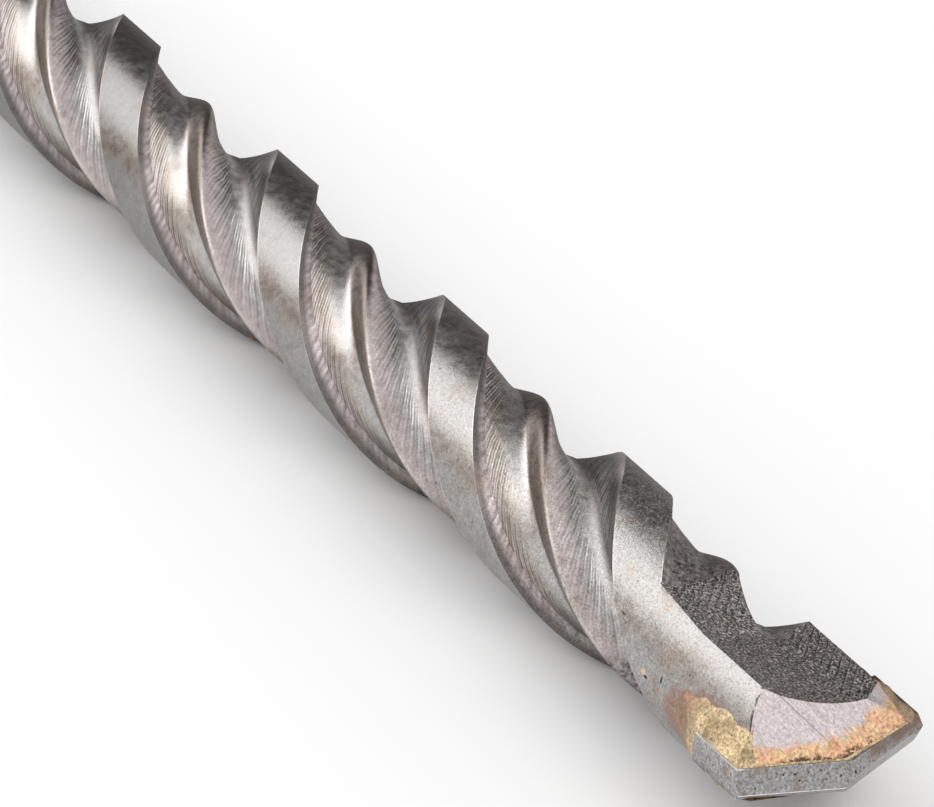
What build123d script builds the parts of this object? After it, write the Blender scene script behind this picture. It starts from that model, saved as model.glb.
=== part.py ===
from build123d import *
import math
import os

# A rotary hammer bit for masonry: one steel body with a slotted shank and helical flutes,
# a hard carbide plate across its head, and the braze that holds the plate in its slot.
# The bit lies along X with the tip at +X. The origin is the middle of the shank's end face.
# Lengths are in millimetres and angles in degrees. Angles about the axis run from +Y to +Z.

# Whole bit
overall_length = 160.0
body_diameter = 10.1
plate_proud = 0.95
shank_diameter = 10.0

# Shank, as the chuck grips it
shank_end_chamfer = 0.8
drive_groove_width = 2.6
drive_groove_depth = 1.8
drive_groove_length = 33.0
drive_groove_runout_radius = 9.0
lock_groove_radius = 3.2
lock_groove_depth = 1.6
lock_groove_start = 12.5
lock_groove_end = 30.0
groove_turn_angle = 45.0

# Run from the shank's full round into the flutes
plain_shank_length = 53.0
runout_length = 17.0
core_radius_inset = 2.6

# Flutes: two starts, each with a land, a deep valley, a low ridge and a shallow valley
flute_lead = 38.6
land_width_angle = 45.0
deep_valley_depth = 2.0
ridge_drop = 0.68
shallow_valley_depth = 1.36
flank_base_depth = 0.86
deep_valley_start_angle = 63.0
deep_valley_end_angle = 94.0
ridge_angle = 113.5
shallow_valley_angle = 137.0
flank_base_angle = 175.0
front_edge_angle_at_tip = 83.0

# Head: round behind each lip, with a straight gash in front of it that runs in gently
head_length = 18.5
round_length = 15.1
gash_length = 10.5
gash_left_angle = 127.2
gash_right_angle = 25.0
gash_sag = 0.42
run_in_length = 4.8
run_in_left_angle = 121.5
run_in_right_angle = 31.0
run_in_sag = 0.05
land_fill_step = 0.02
land_fill_root = 0.6
land_fill_angle = 75.0
fill_span_angle = 160.0

# Carbide plate
plate_thickness = 1.9
plate_height = 6.5
lip_slope = 0.36
lip_relief = 0.45
rake_land_width = 0.55
rake_land_drop = 0.5

# Steel end of the head, as slopes of three ground faces beside each lip
heel_slope_along = 0.354
heel_slope_across = 0.966
heel_step = 0.33
front_slope_along = 0.267
front_slope_across = 1.497
front_step = 0.815
rim_slope_along = 0.931
rim_slope_across = 2.63
rim_step = 5.34

# Braze
braze_film = 0.08
braze_pad_angle = 26.0
braze_tail_length = 3.0
braze_pad_inset = 0.1

# Sizes that follow from those above
body_radius = body_diameter / 2
tip_radius = body_radius + plate_proud
shank_radius = shank_diameter / 2
half_plate = plate_thickness / 2
slot_half_width = half_plate + braze_film
plate_base_x = overall_length - plate_height
slot_base_x = plate_base_x - braze_film
flute_start_x = plain_shank_length
head_start_x = overall_length - head_length
round_start_x = overall_length - round_length
gash_start_x = overall_length - gash_length
run_in_start_x = gash_start_x - run_in_length
reach = 2 * tip_radius


def around(x, radius, angle):
    """Point at a radius and an angle about the axis."""
    return Vector(x, radius * math.cos(math.radians(angle)), radius * math.sin(math.radians(angle)))


def front_edge_angle(x):
    """Angle of a land's front edge at a station along the axis."""
    return front_edge_angle_at_tip + 360.0 * (x - overall_length) / flute_lead


def lathe(points):
    """Solid turned about the axis from a half outline of (x, radius) points."""
    corners = [Vector(x, radius, 0) for x, radius in points]
    outline = Wire.make_polygon(corners, close=True)
    return Solid.revolve(Face(outline), 360, Axis.X)


def mirror_twin(shape):
    """The same shape turned half a turn about the axis."""
    return shape.rotate(Axis.X, 180)


def cut_away(shape, tool):
    """The shape less the tool and less the tool's twin on the other side."""
    return shape - tool - mirror_twin(tool)


def above_plane(step, along, across):
    """Big block over the face x = tip + step + along * y + across * z."""
    foot = Vector(overall_length + step, 0, 0)
    outward = Vector(1, -along, -across).normalized()
    level = Plane(origin=foot, z_dir=outward)
    size = 8 * reach
    return level * Box(size, size, size, align=(Align.CENTER, Align.CENTER, Align.MIN))


# Cross section of the fluted stretch at a station: two lands and the flutes between them
deep_radius = body_radius - deep_valley_depth
ridge_radius = body_radius - ridge_drop
shallow_radius = body_radius - shallow_valley_depth
flank_base_radius = body_radius - flank_base_depth
wall_turn = deep_valley_start_angle - land_width_angle
flank_turn = flank_base_angle - shallow_valley_angle
flute_stations = [
    (land_width_angle, body_radius),
    (land_width_angle + 0.4 * wall_turn, deep_radius + 0.3 * deep_valley_depth),
    (deep_valley_start_angle, deep_radius),
    (deep_valley_end_angle, deep_radius + 0.07 * deep_valley_depth),
    (ridge_angle, ridge_radius),
    (shallow_valley_angle, shallow_radius),
    (shallow_valley_angle + 0.45 * flank_turn, 0.72 * shallow_radius + 0.28 * flank_base_radius),
    (flank_base_angle, flank_base_radius),
]


def fluted_section(x):
    """Face of the fluted stretch at a station along the axis."""
    edges = []
    for half_turn in (0.0, 180.0):
        base = front_edge_angle(x) + half_turn
        land = [around(x, body_radius, base + share * land_width_angle) for share in (0.0, 0.5, 1.0)]
        edges.append(Edge.make_three_point_arc(land[0], land[1], land[2]))
        flute_points = [around(x, radius, base + angle) for angle, radius in flute_stations]
        edges.append(Edge.make_spline(flute_points))
        edges.append(Edge.make_line(flute_points[-1], around(x, body_radius, base + 180.0)))
    return Face(Wire(edges))


def carried(section, x, length):
    """Solid of a section at a station, carried along the axis at the flutes' lead."""
    turn = 360.0 * length / flute_lead
    return Solid.extrude_linear_with_rotation(section, Vector(x, 0, 0), Vector(length, 0, 0), turn)


# The flutes fade out over a cone towards the shank
core_radius = body_radius - core_radius_inset
runout_end_x = flute_start_x + runout_length
shank_blank = lathe(
    [
        (0, 0),
        (0, shank_radius - shank_end_chamfer),
        (shank_end_chamfer, shank_radius),
        (flute_start_x, shank_radius),
        (runout_end_x, core_radius),
        (runout_end_x, 0),
    ]
)
shank = shank_blank + carried(fluted_section(flute_start_x), flute_start_x, runout_length)

# Plain fluted run between the run-out and the head
fluted_run = carried(fluted_section(runout_end_x), runout_end_x, head_start_x - runout_end_x)

# In the head the land is full round from the gash to its own front edge
flutes_in_head = carried(fluted_section(head_start_x), head_start_x, head_length + 1)
fill_radius = body_radius - land_fill_step
fill_root_radius = deep_radius - land_fill_root
fill_base = front_edge_angle(round_start_x) + land_width_angle / 2
fill_turns = [fill_base, fill_base - fill_span_angle / 2, fill_base - fill_span_angle]
fill_rim = [around(round_start_x, fill_radius, angle) for angle in fill_turns]
fill_root = [around(round_start_x, fill_root_radius, angle) for angle in fill_turns]
fill_section = Face(
    Wire(
        [
            Edge.make_three_point_arc(fill_rim[0], fill_rim[1], fill_rim[2]),
            Edge.make_line(fill_rim[2], fill_root[2]),
            Edge.make_three_point_arc(fill_root[2], fill_root[1], fill_root[0]),
            Edge.make_line(fill_root[0], fill_rim[0]),
        ]
    )
)
head_fill = carried(fill_section, round_start_x, round_length + 1)
behind_fill = Plane(origin=Vector(0, 0, 0), x_dir=(1, 0, 0), z_dir=around(0, 1, land_fill_angle - 90))
head_fill = head_fill - behind_fill * Box(
    2 * overall_length + 2 * reach, 4 * reach, 4 * reach, align=(Align.CENTER, Align.CENTER, Align.MAX)
)
head = flutes_in_head + head_fill + mirror_twin(head_fill)


def gash_section(x, left_angle, right_angle, sag):
    """Outline of the gash at a station: its floor is an arc, and it is open upwards."""
    left = around(x, body_radius, left_angle)
    right = around(x, body_radius, right_angle)
    chord = right - left
    outward = Vector(0, -chord.Z, chord.Y).normalized()
    if outward.Z < 0:
        outward = outward * -1
    floor = (left + right) * 0.5 - outward * sag
    rise = outward * reach
    return Wire(
        [
            Edge.make_three_point_arc(left, floor, right),
            Edge.make_line(right, right + rise),
            Edge.make_line(right + rise, left + rise),
            Edge.make_line(left + rise, left),
        ]
    )


# Straight gash in front of the right lip, parallel to the axis, after its run-in
gash_mouth = gash_section(gash_start_x, gash_left_angle, gash_right_angle, gash_sag)
gash_first = gash_section(run_in_start_x, run_in_left_angle, run_in_right_angle, run_in_sag)
gash = Solid.extrude(Face(gash_mouth), Vector(gash_length + 2, 0, 0))
run_in = Solid.make_loft([gash_first, gash_mouth], True)

# Faces of the steel end: heel behind the left lip, front of the right lip, and its outer rim
heel = above_plane(heel_step, heel_slope_along, -heel_slope_across)
front = above_plane(front_step, -front_slope_along, -front_slope_across)
rim = above_plane(rim_step, -rim_slope_along, -rim_slope_across)

# Slot for the plate, right across the head
slot = Pos(slot_base_x, 0, 0) * Box(
    plate_height + reach, 2 * reach, 2 * slot_half_width, align=(Align.MIN, Align.CENTER, Align.CENTER)
)

# Shank: two open grooves turn the bit, two closed ones hold it in the chuck
drive_floor = shank_radius - drive_groove_depth
drive_straight = drive_groove_length - drive_groove_runout_radius / 2
drive_groove = Pos(-1, drive_floor, 0) * Box(
    1 + drive_straight, reach, drive_groove_width, align=(Align.MIN, Align.MIN, Align.CENTER)
)
drive_runout = Pos(drive_straight, drive_floor + drive_groove_runout_radius, 0) * Cylinder(
    drive_groove_runout_radius, drive_groove_width
)
lock_height = shank_radius + lock_groove_radius - lock_groove_depth
lock_first = lock_groove_start + lock_groove_radius
lock_last = lock_groove_end - lock_groove_radius
lock_groove = Pos(lock_first, 0, lock_height) * Rot(0, 90, 0) * Cylinder(
    lock_groove_radius, lock_last - lock_first, align=(Align.CENTER, Align.CENTER, Align.MIN)
)
lock_groove = lock_groove + Pos(lock_first, 0, lock_height) * Sphere(lock_groove_radius)
lock_groove = lock_groove + Pos(lock_last, 0, lock_height) * Sphere(lock_groove_radius)

for tool in (drive_groove, drive_runout, lock_groove):
    shank = cut_away(shank, tool.rotate(Axis.X, groove_turn_angle))
for tool in (run_in, gash, heel, front, rim):
    head = cut_away(head, tool)
head = head - slot
drill_body = shank + fluted_run + head

# Carbide plate: a roof of two lips, each with relief and a small rake land, on a round edge
plate = Pos(plate_base_x, 0, 0) * Box(
    plate_height + 1, 2 * reach, plate_thickness, align=(Align.MIN, Align.CENTER, Align.CENTER)
)
plate_round = Pos(plate_base_x - 1, 0, 0) * Rot(0, 90, 0) * Cylinder(
    tip_radius, plate_height + 3, align=(Align.CENTER, Align.CENTER, Align.MIN)
)
plate = plate & plate_round
rake_slope = rake_land_drop / rake_land_width
rake_edge_z = half_plate - rake_land_width
rake_step = (lip_relief + rake_slope) * rake_edge_z
lip_flank = above_plane(0, lip_slope, -lip_relief)
rake_land = above_plane(rake_step, lip_slope, rake_slope)
carbide_tip = plate
for tool in (lip_flank, rake_land):
    carbide_tip = cut_away(carbide_tip, tool)

# Braze: a film round the plate in the slot, and pads against the plate's proud ends
film_round = Pos(slot_base_x, 0, 0) * Rot(0, 90, 0) * Cylinder(
    body_radius, plate_height + 1, align=(Align.CENTER, Align.CENTER, Align.MIN)
)
film = slot & film_round
for tool in (heel, front, rim):
    film = cut_away(film, tool)
film = film - plate
pad_edge_y = math.sqrt(tip_radius**2 - half_plate**2) - braze_pad_inset
pad_tail_x = plate_base_x - braze_tail_length
pad_land_y = -body_radius * math.cos(math.radians(braze_pad_angle))
pad_land_z = body_radius * math.sin(math.radians(braze_pad_angle))
pad_inner_y = pad_land_y + braze_film
pad_section = Face(
    Wire.make_polygon(
        [
            Vector(pad_tail_x, -pad_edge_y, half_plate),
            Vector(pad_tail_x, pad_land_y, pad_land_z),
            Vector(pad_tail_x, pad_inner_y, pad_land_z),
            Vector(pad_tail_x, pad_inner_y, -pad_land_z),
            Vector(pad_tail_x, pad_land_y, -pad_land_z),
            Vector(pad_tail_x, -pad_edge_y, -half_plate),
        ],
        close=True,
    )
)
pad = Solid.extrude(pad_section, Vector(plate_height + braze_tail_length, 0, 0))
tail_rise = pad_edge_y - body_radius
tail_outward = Vector(-tail_rise, -braze_tail_length, 0).normalized()
pad = pad - Plane(origin=Vector(pad_tail_x, -body_radius, 0), z_dir=tail_outward) * Box(
    8 * reach, 8 * reach, 8 * reach, align=(Align.CENTER, Align.CENTER, Align.MIN)
)
land_round = Pos(pad_tail_x - 1, 0, 0) * Rot(0, 90, 0) * Cylinder(
    body_radius, 4 * plate_height, align=(Align.CENTER, Align.CENTER, Align.MIN)
)
pad = pad - land_round - plate
for tool in (gash, heel, front, rim):
    pad = cut_away(pad, tool)
braze_joint = film + pad + mirror_twin(pad)

os.makedirs("parts", exist_ok=True)
for name, shape in (("drill_body", drill_body), ("carbide_tip", carbide_tip), ("braze_joint", braze_joint)):
    solids = shape.solids()
    print(name, len(solids), "solids", round(sum(solid.volume for solid in solids), 2), "mm3")
    export_step(shape, "parts/" + name + ".step")
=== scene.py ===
"""Masonry drill bit: slotted shank, helical flutes and a carbide plate brazed across the head.

The bit lies along X with its tip at +X, on a pale floor. Sizes are in millimetres and degrees,
and angles about the axis run from +Y to +Z. Meshes are written in metres.
"""

from __future__ import annotations

import logging
import math
from dataclasses import dataclass
from enum import Enum
from functools import partial, reduce
from typing import Sequence, Union

import bpy
import numpy as np
from mathutils import Matrix, Vector

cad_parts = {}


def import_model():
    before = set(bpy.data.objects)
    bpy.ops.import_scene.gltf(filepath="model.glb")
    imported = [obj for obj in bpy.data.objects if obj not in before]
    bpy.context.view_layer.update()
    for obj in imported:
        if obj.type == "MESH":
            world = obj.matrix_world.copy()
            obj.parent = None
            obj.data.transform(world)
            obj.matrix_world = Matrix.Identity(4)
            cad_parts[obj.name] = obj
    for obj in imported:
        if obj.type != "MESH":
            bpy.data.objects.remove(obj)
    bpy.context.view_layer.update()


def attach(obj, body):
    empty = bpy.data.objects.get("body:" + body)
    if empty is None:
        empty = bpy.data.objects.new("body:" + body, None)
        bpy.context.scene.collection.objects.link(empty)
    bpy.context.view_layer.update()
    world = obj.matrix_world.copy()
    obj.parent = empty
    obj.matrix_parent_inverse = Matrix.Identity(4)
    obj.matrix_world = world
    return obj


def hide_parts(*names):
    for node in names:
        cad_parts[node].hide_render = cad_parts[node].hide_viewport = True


log = logging.getLogger("drill_bit")

MM = 0.001
FULL_TURN = 360.0
HALF_TURN = 180.0
COLOUR_MIX_INPUTS = (0, 6, 7)
COLOUR_MIX_OUTPUT = 2
CUTTER_REACH = 20.0
CUTTER_HALF_WIDTH = 9.0

Colour = tuple[float, float, float]
Place = tuple[float, float, float]
Steps = tuple[float, ...]
Grain = tuple[float, ...]
Speckles = tuple[float, float, float]
Stops = tuple[tuple[float, Union[float, Colour]], ...]
Output = bpy.types.NodeSocket
Value = Union[float, Colour, bpy.types.NodeSocket]


class Finish(Enum):
    """Names of the CAD parts that the new pieces hide and stand in for."""

    BODY = "drill_body"
    TIP = "carbide_tip"
    BRAZE = "braze_joint"


@dataclass(frozen=True)
class EndFace:
    """One ground face of the steel end: x = tip + step + along * y + across * z."""

    step: float
    along: float
    across: float

    def twin(self) -> EndFace:
        """The same face half a turn round the axis."""
        return EndFace(self.step, -self.along, -self.across)


@dataclass(frozen=True)
class BitSizes:
    """Sizes of the bit, as in the CAD."""

    overall_length: float = 160.0
    body_radius: float = 5.05
    shank_radius: float = 5.0
    shank_end_chamfer: float = 0.8
    plain_shank_length: float = 53.0
    runout_length: float = 17.0
    core_radius: float = 2.45
    flute_lead: float = 38.6
    front_edge_angle_at_tip: float = 83.0
    land_width_angle: float = 45.0
    round_length: float = 15.15
    land_fill_angle: float = 75.0
    tip_radius: float = 6.0
    plate_height: float = 6.5
    half_plate: float = 0.95
    lip_slope: float = 0.36
    rake_land_width: float = 0.55
    braze_film: float = 0.08
    heel: EndFace = EndFace(0.33, 0.354, -0.966)
    front: EndFace = EndFace(0.815, -0.267, -1.497)
    rim: EndFace = EndFace(5.34, -0.931, -2.63)

    def front_edge_angle(self, x: np.ndarray) -> np.ndarray:
        """Angle of a land's front edge at stations along the axis, in degrees."""
        return self.front_edge_angle_at_tip + FULL_TURN * (x - self.overall_length) / self.flute_lead

    @property
    def end_faces(self) -> tuple[EndFace, ...]:
        """Heel, front and rim of the steel end, each with its twin."""
        faces = (self.heel, self.front, self.rim)
        return faces + tuple(face.twin() for face in faces)

    @property
    def plate_base(self) -> float:
        """Station of the plate's foot."""
        return self.overall_length - self.plate_height

    @property
    def rake_edge(self) -> float:
        """Height of the lip over the plate's middle, where its flank meets its rake land."""
        return self.half_plate - self.rake_land_width


# Meshes


def smooth_through(stations: Sequence[tuple[float, float]], at: np.ndarray) -> np.ndarray:
    """Smooth curve through given points.

    Between two points it is a cubic whose slopes at the points are the mean slopes of their
    neighbours, so that it has no corner.

    Args:
        stations: (position, value) pairs in rising order of position.
        at: positions to work the curve out at, inside the stations' range.

    Returns:
        The curve's values.
    """
    knots, values = (np.array(column, float) for column in zip(*stations))
    slopes = np.gradient(values, knots)
    span = np.clip(np.searchsorted(knots, at, side="right") - 1, 0, len(knots) - 2)
    width = knots[span + 1] - knots[span]
    t = (at - knots[span]) / width
    start = (1 + 2 * t) * (1 - t) ** 2 * values[span] + t * (1 - t) ** 2 * width * slopes[span]
    end = t**2 * (3 - 2 * t) * values[span + 1] + t**2 * (t - 1) * width * slopes[span + 1]
    return start + end


def make_object(name: str, points: np.ndarray, faces: np.ndarray) -> bpy.types.Object:
    """Object from points in millimetres and faces with the same number of corners each.

    Args:
        name: name of the object and its mesh.
        points: (n, 3) array.
        faces: (m, corners) array of point numbers, counterclockwise seen from outside.

    Returns:
        The linked object, at the origin.
    """
    mesh = bpy.data.meshes.new(name)
    mesh.vertices.add(len(points))
    mesh.vertices.foreach_set("co", (points * MM).astype(np.float32).ravel())
    corners = faces.shape[1]
    mesh.loops.add(faces.size)
    mesh.loops.foreach_set("vertex_index", faces.astype(np.int32).ravel())
    mesh.polygons.add(len(faces))
    mesh.polygons.foreach_set("loop_start", np.arange(0, faces.size, corners, dtype=np.int32))
    mesh.update(calc_edges=True)
    mesh.validate()
    piece = bpy.data.objects.new(name, mesh)
    bpy.context.scene.collection.objects.link(piece)
    return piece


def tube_of_sections(name: str, sections: np.ndarray) -> bpy.types.Object:
    """Closed solid from a grid of sections carried along the axis, with a fan over each end.

    Row i of the grid is the closed outline of station i, seen running round the axis from +Y
    to +Z. Each end is closed by a fan about the middle of its outline.

    Args:
        name: name of the object.
        sections: (rows, columns, 3) array in millimetres, rows in rising order of x.

    Returns:
        The object.
    """
    rows, columns = sections.shape[:2]
    first = sections[0].mean(axis=0)
    last = sections[-1].mean(axis=0)
    points = np.vstack([sections.reshape(-1, 3), first, last])
    number = np.arange(rows * columns).reshape(rows, columns)
    after = np.roll(number, -1, axis=1)
    low, low_after = number[:-1].ravel(), after[:-1].ravel()
    high, high_after = number[1:].ravel(), after[1:].ravel()
    walls = np.vstack([np.stack([low, low_after, high_after], 1), np.stack([low, high_after, high], 1)])
    start_hub = np.full(columns, rows * columns)
    end_hub = start_hub + 1
    start_fan = np.stack([start_hub, after[0], number[0]], 1)
    end_fan = np.stack([end_hub, number[-1], after[-1]], 1)
    return make_object(name, points, np.vstack([walls, start_fan, end_fan]))


def carve(piece: bpy.types.Object, tool: bpy.types.Object) -> None:
    """Takes a tool's solid out of a piece and deletes the tool. The new faces keep the tool's material.

    Args:
        piece: the piece to cut.
        tool: the solid that is taken out of it.
    """
    cut = piece.modifiers.new("cut", "BOOLEAN")
    cut.operation = "DIFFERENCE"
    cut.solver = "MANIFOLD"
    cut.material_mode = "TRANSFER"
    cut.object = tool
    settle(piece)
    bpy.data.objects.remove(tool)


def settle(piece: bpy.types.Object) -> None:
    """Replaces a piece's mesh by what its modifiers make of it, and drops the modifiers.

    Args:
        piece: the piece.
    """
    seen = piece.evaluated_get(bpy.context.evaluated_depsgraph_get())
    piece.data = bpy.data.meshes.new_from_object(seen)
    piece.modifiers.clear()


def shade(piece: bpy.types.Object, crease_angle: float) -> None:
    """Smooth shading with sharp edges where faces meet at more than an angle in degrees."""
    piece.data.shade_smooth()
    piece.data.set_sharp_from_angle(angle=math.radians(crease_angle))


def dress(piece: bpy.types.Object, material: bpy.types.Material) -> None:
    """Gives a piece its only material."""
    piece.data.materials.clear()
    piece.data.materials.append(material)


def around(x: np.ndarray, radius: np.ndarray, degrees: np.ndarray) -> np.ndarray:
    """Points about the axis: y and z are the radius times the cosine and sine of the angle.

    Args:
        x: stations in millimetres.
        radius: radii there.
        degrees: angles there.

    Returns:
        The points, as an array with a last axis of 3.
    """
    turn = np.radians(degrees)
    x, radius, turn = np.broadcast_arrays(x, radius, turn)
    return np.stack([x, radius * np.cos(turn), radius * np.sin(turn)], axis=-1)


def above_face(face: EndFace, tip_x: float, lift: float) -> bpy.types.Object:
    """Big block over one ground face of the steel end.

    Args:
        face: the ground face.
        tip_x: station of the bit's tip.
        lift: how far above the face the block starts.

    Returns:
        The block.
    """
    outward = Vector((1.0, -face.along, -face.across)).normalized()
    foot = Vector((tip_x + face.step, 0.0, 0.0)) + outward * lift
    turn = outward.to_track_quat("X", "Z").to_matrix()
    corners = np.array([[x, y, z] for x in (0, 1) for y in (-1, 1) for z in (-1, 1)], float) * CUTTER_REACH
    points = corners @ np.array(turn).T + np.array(foot)
    faces = np.array([[0, 1, 3, 2], [4, 6, 7, 5], [0, 4, 5, 1], [2, 3, 7, 6], [0, 2, 6, 4], [1, 5, 7, 3]])
    return make_object("block", points, faces)


def across_block(start_x: float, half_thickness: float) -> bpy.types.Object:
    """Block right across the head from a station on.

    Args:
        start_x: station at which it starts.
        half_thickness: half its thickness in z.

    Returns:
        The block.
    """
    x = np.array([start_x, start_x + CUTTER_REACH])[:, None]
    y = np.array([[-1.0, 1.0, 1.0, -1.0]]) * CUTTER_HALF_WIDTH + 0 * x
    z = np.array([[-1.0, -1.0, 1.0, 1.0]]) * half_thickness + 0 * x
    return tube_of_sections("across", np.stack([x + 0 * y, y, z], axis=-1))


def turned_copy(piece: bpy.types.Object, degrees: float = HALF_TURN) -> bpy.types.Object:
    """A copy of a tool, turned round the axis.

    Args:
        piece: the tool.
        degrees: how far the copy is turned.

    Returns:
        The copy.
    """
    twin = piece.copy()
    twin.data = piece.data.copy()
    twin.data.transform(Matrix.Rotation(math.radians(degrees), 4, "X"))
    bpy.context.scene.collection.objects.link(twin)
    return twin


# Materials


class Sheet:
    """Node tree of one metal, with short calls that add nodes and join them.

    Place is the piece's own place in millimetres, x, y and z are its parts, and angle is the
    angle about the axis in degrees.
    """

    def __init__(self, name: str) -> None:
        """Starts a material with the place and its parts.

        Args:
            name: name of the material.
        """
        self.material = bpy.data.materials.new(name)
        self.material.use_nodes = True
        self.tree = self.material.node_tree
        self.shader = self.tree.nodes["Principled BSDF"]
        place = self.tree.nodes.new("ShaderNodeTexCoord").outputs["Object"]
        scaled = self.tree.nodes.new("ShaderNodeVectorMath")
        scaled.operation = "SCALE"
        scaled.inputs["Scale"].default_value = 1 / MM
        self.tree.links.new(place, scaled.inputs[0])
        self.place = scaled.outputs[0]
        split = self.tree.nodes.new("ShaderNodeSeparateXYZ")
        self.tree.links.new(self.place, split.inputs[0])
        self.x, self.y, self.z = split.outputs
        self.angle = self.calc("DEGREES", self.calc("ARCTAN2", self.z, self.y))

    def feed(self, socket: Output, value: Value) -> None:
        """Links an output to a socket, or sets the socket to a number or colour.

        Args:
            socket: the input to feed.
            value: the output, number or colour.
        """
        if isinstance(value, bpy.types.NodeSocket):
            self.tree.links.new(value, socket)
        elif isinstance(value, tuple):
            socket.default_value = (*value, 1.0)
        else:
            socket.default_value = value

    def calc(self, operation: str, *values: Value, clamp: bool = False) -> Output:
        """One math operation.

        Args:
            operation: its name in Blender.
            values: its numbers or outputs, in order.
            clamp: whether the result is held between 0 and 1.

        Returns:
            The result.
        """
        node = self.tree.nodes.new("ShaderNodeMath")
        node.operation = operation
        node.use_clamp = clamp
        for socket, value in zip(node.inputs, values):
            self.feed(socket, value)
        return node.outputs[0]

    def times(self, first: Value, *others: Value) -> Output:
        """Product of numbers or outputs."""
        return reduce(partial(self.calc, "MULTIPLY"), others, first)

    def plus(self, first: Value, second: Value) -> Output:
        """Sum of two numbers or outputs."""
        return self.calc("ADD", first, second)

    def less(self, first: Value, second: Value) -> Output:
        """First less second."""
        return self.calc("SUBTRACT", first, second)

    def times_plus(self, first: Value, factor: Value, extra: Value) -> Output:
        """First times a factor, plus something extra."""
        return self.calc("MULTIPLY_ADD", first, factor, extra)

    def size_of(self, value: Value) -> Output:
        """A value without its sign."""
        return self.calc("ABSOLUTE", value)

    def length_of(self, first: Value, second: Value) -> Output:
        """Root of the sum of two squares."""
        return self.calc("SQRT", self.times_plus(first, first, self.times(second, second)))

    def y_of_side(self) -> Output:
        """y above the axis and -y under it, so that its pattern has a twin half a turn on."""
        return self.times(self.y, self.calc("SIGN", self.z))

    def steps(
        self, value: Value, low: float, high: float, to_low: float = 0.0, to_high: float = 1.0
    ) -> Output:
        """Smooth step.

        Args:
            value: what it depends on.
            low: value at which the step starts.
            high: value at which it ends. It may be under low.
            to_low: result at low and before it.
            to_high: result at high and past it.

        Returns:
            The result.
        """
        node = self.tree.nodes.new("ShaderNodeMapRange")
        node.interpolation_type = "SMOOTHSTEP"
        names = ("Value", "From Min", "From Max", "To Min", "To Max")
        for name, number in zip(names, (value, low, high, to_low, to_high)):
            self.feed(node.inputs[name], number)
        return node.outputs[0]

    def noise(
        self, scale: float, detail: float = 3.0, rough: float = 0.55, at: Output | None = None
    ) -> Output:
        """Noise about 0.5.

        Args:
            scale: waves per millimetre.
            detail: number of finer layers.
            rough: strength of the finer layers.
            at: place to read, or none for the piece's own.

        Returns:
            The noise.
        """
        node = self.tree.nodes.new("ShaderNodeTexNoise")
        for name, number in zip(("Scale", "Detail", "Roughness"), (scale, detail, rough)):
            node.inputs[name].default_value = number
        self.feed(node.inputs["Vector"], self.place if at is None else at)
        return node.outputs["Fac"]

    def pits(self, scale: float, size: float) -> Output:
        """Scattered round spots, 1 at a spot's middle and 0 outside.

        Args:
            scale: spots per millimetre.
            size: radius of a spot over the distance between spots.

        Returns:
            The spots.
        """
        node = self.tree.nodes.new("ShaderNodeTexVoronoi")
        node.inputs["Scale"].default_value = scale
        self.feed(node.inputs["Vector"], self.place)
        return self.steps(node.outputs["Distance"], size, 0.0)

    def join(self, *parts: Value) -> Output:
        """Vector from its parts.

        Args:
            parts: three numbers or outputs.

        Returns:
            The vector.
        """
        node = self.tree.nodes.new("ShaderNodeCombineXYZ")
        for socket, part in zip(node.inputs, parts):
            self.feed(socket, part)
        return node.outputs[0]

    def blend(self, share: Value, first: Value, second: Value, how: str = "MIX") -> Output:
        """Colour between two.

        Args:
            share: 0 for the first colour, 1 for the second.
            first: colour that is painted over.
            second: colour that goes over it.
            how: Blender's name of the way to blend.

        Returns:
            The colour.
        """
        node = self.tree.nodes.new("ShaderNodeMix")
        node.data_type = "RGBA"
        node.blend_type = how
        node.clamp_factor = True
        for number, value in zip(COLOUR_MIX_INPUTS, (share, first, second)):
            self.feed(node.inputs[number], value)
        return node.outputs[COLOUR_MIX_OUTPUT]

    def tint(self, colour: Value, tint: Value) -> Output:
        """Colour times another colour."""
        return self.blend(1.0, colour, tint, "MULTIPLY")

    def darken(self, colour: Value, level: Value) -> Output:
        """Colour times a number."""
        return self.tint(colour, self.join(level, level, level))

    def ramp(self, value: Value, stops: Stops) -> Output:
        """Colour ramp.

        Args:
            value: what the colour depends on, from 0 to 1.
            stops: pairs of a value and its colour, or its grey level.

        Returns:
            The colour.
        """
        node = self.tree.nodes.new("ShaderNodeValToRGB")
        elements = node.color_ramp.elements
        while len(elements) < len(stops):
            elements.new(0.5)
        for element, (position, colour) in zip(elements, stops):
            element.position = position
            element.color = (*(colour if isinstance(colour, tuple) else (colour,) * 3), 1.0)
        self.feed(node.inputs[0], value)
        return node.outputs[0]

    def speckle(self, colour: Value, low: float, high: float, scale: float) -> Output:
        """Colour times a fine grain.

        Args:
            colour: the colour.
            low: grain's lowest level.
            high: grain's highest level.
            scale: grain's waves per millimetre.

        Returns:
            The speckled colour.
        """
        return self.tint(colour, self.ramp(self.noise(scale, 3.0, 0.7), ((0.32, low), (0.66, high))))

    def bump(self, height: Value, distance: float, after: Output | None = None) -> Output:
        """Normal of a bumpy surface.

        Args:
            height: the bumps, from 0 to 1.
            distance: height of 1 in millimetres.
            after: normal of the surface under the bumps, where it has its own.

        Returns:
            The normal.
        """
        node = self.tree.nodes.new("ShaderNodeBump")
        node.inputs["Distance"].default_value = distance * MM
        self.feed(node.inputs["Height"], height)
        if after is not None:
            self.feed(node.inputs["Normal"], after)
        return node.outputs[0]

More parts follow.
